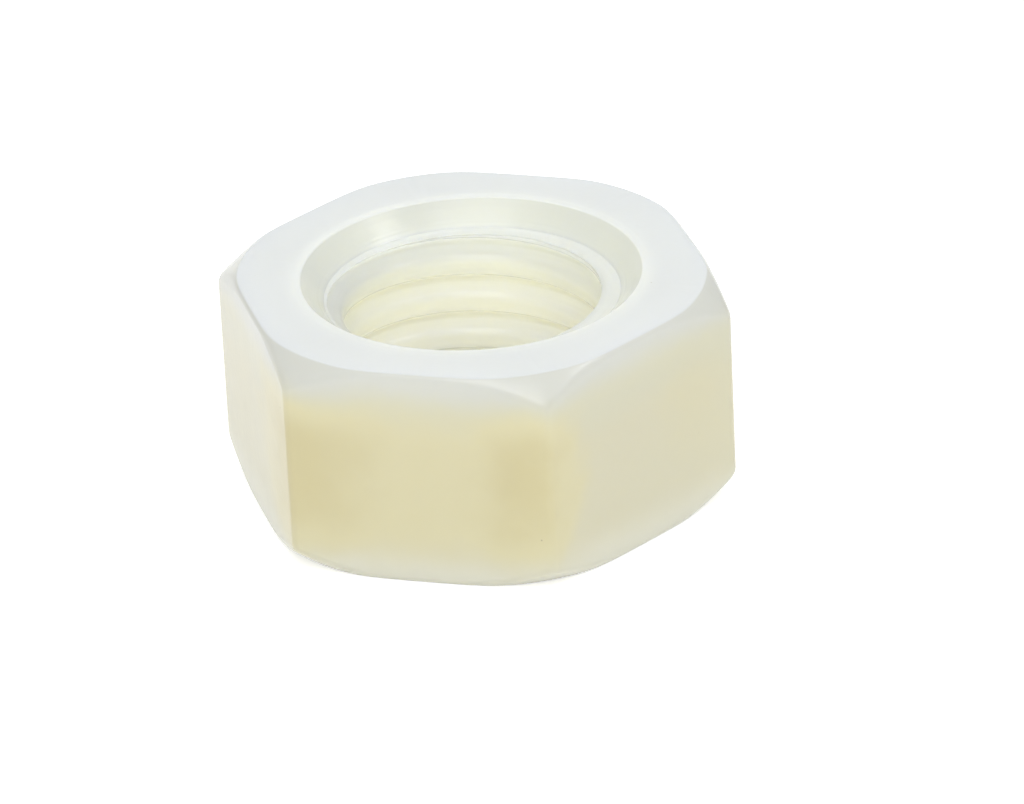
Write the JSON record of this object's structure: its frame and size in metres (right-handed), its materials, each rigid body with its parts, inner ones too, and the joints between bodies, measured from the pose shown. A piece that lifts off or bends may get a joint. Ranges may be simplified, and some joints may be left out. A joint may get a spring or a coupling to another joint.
{
  "type": "nylon hex nut",
  "caption": "Moulded nylon hexagon nut with both ends chamfered and a countersunk right-hand metric thread through its centre.",
  "frame": {"origin": "centre of the lower bearing face, on the thread's axis", "axes": "+Z along the thread's axis, up through the nut; +X through an upright corner; +Y through the middle of a flat"},
  "size_m": [0.0252, 0.022, 0.011],
  "materials": {
    "natural_nylon": "natural, uncoloured nylon: translucent cream, with a soft satin moulded surface"
  },
  "bodies": {
    "root": {"hex_nut": "natural_nylon"}
  },
  "joints": []
}
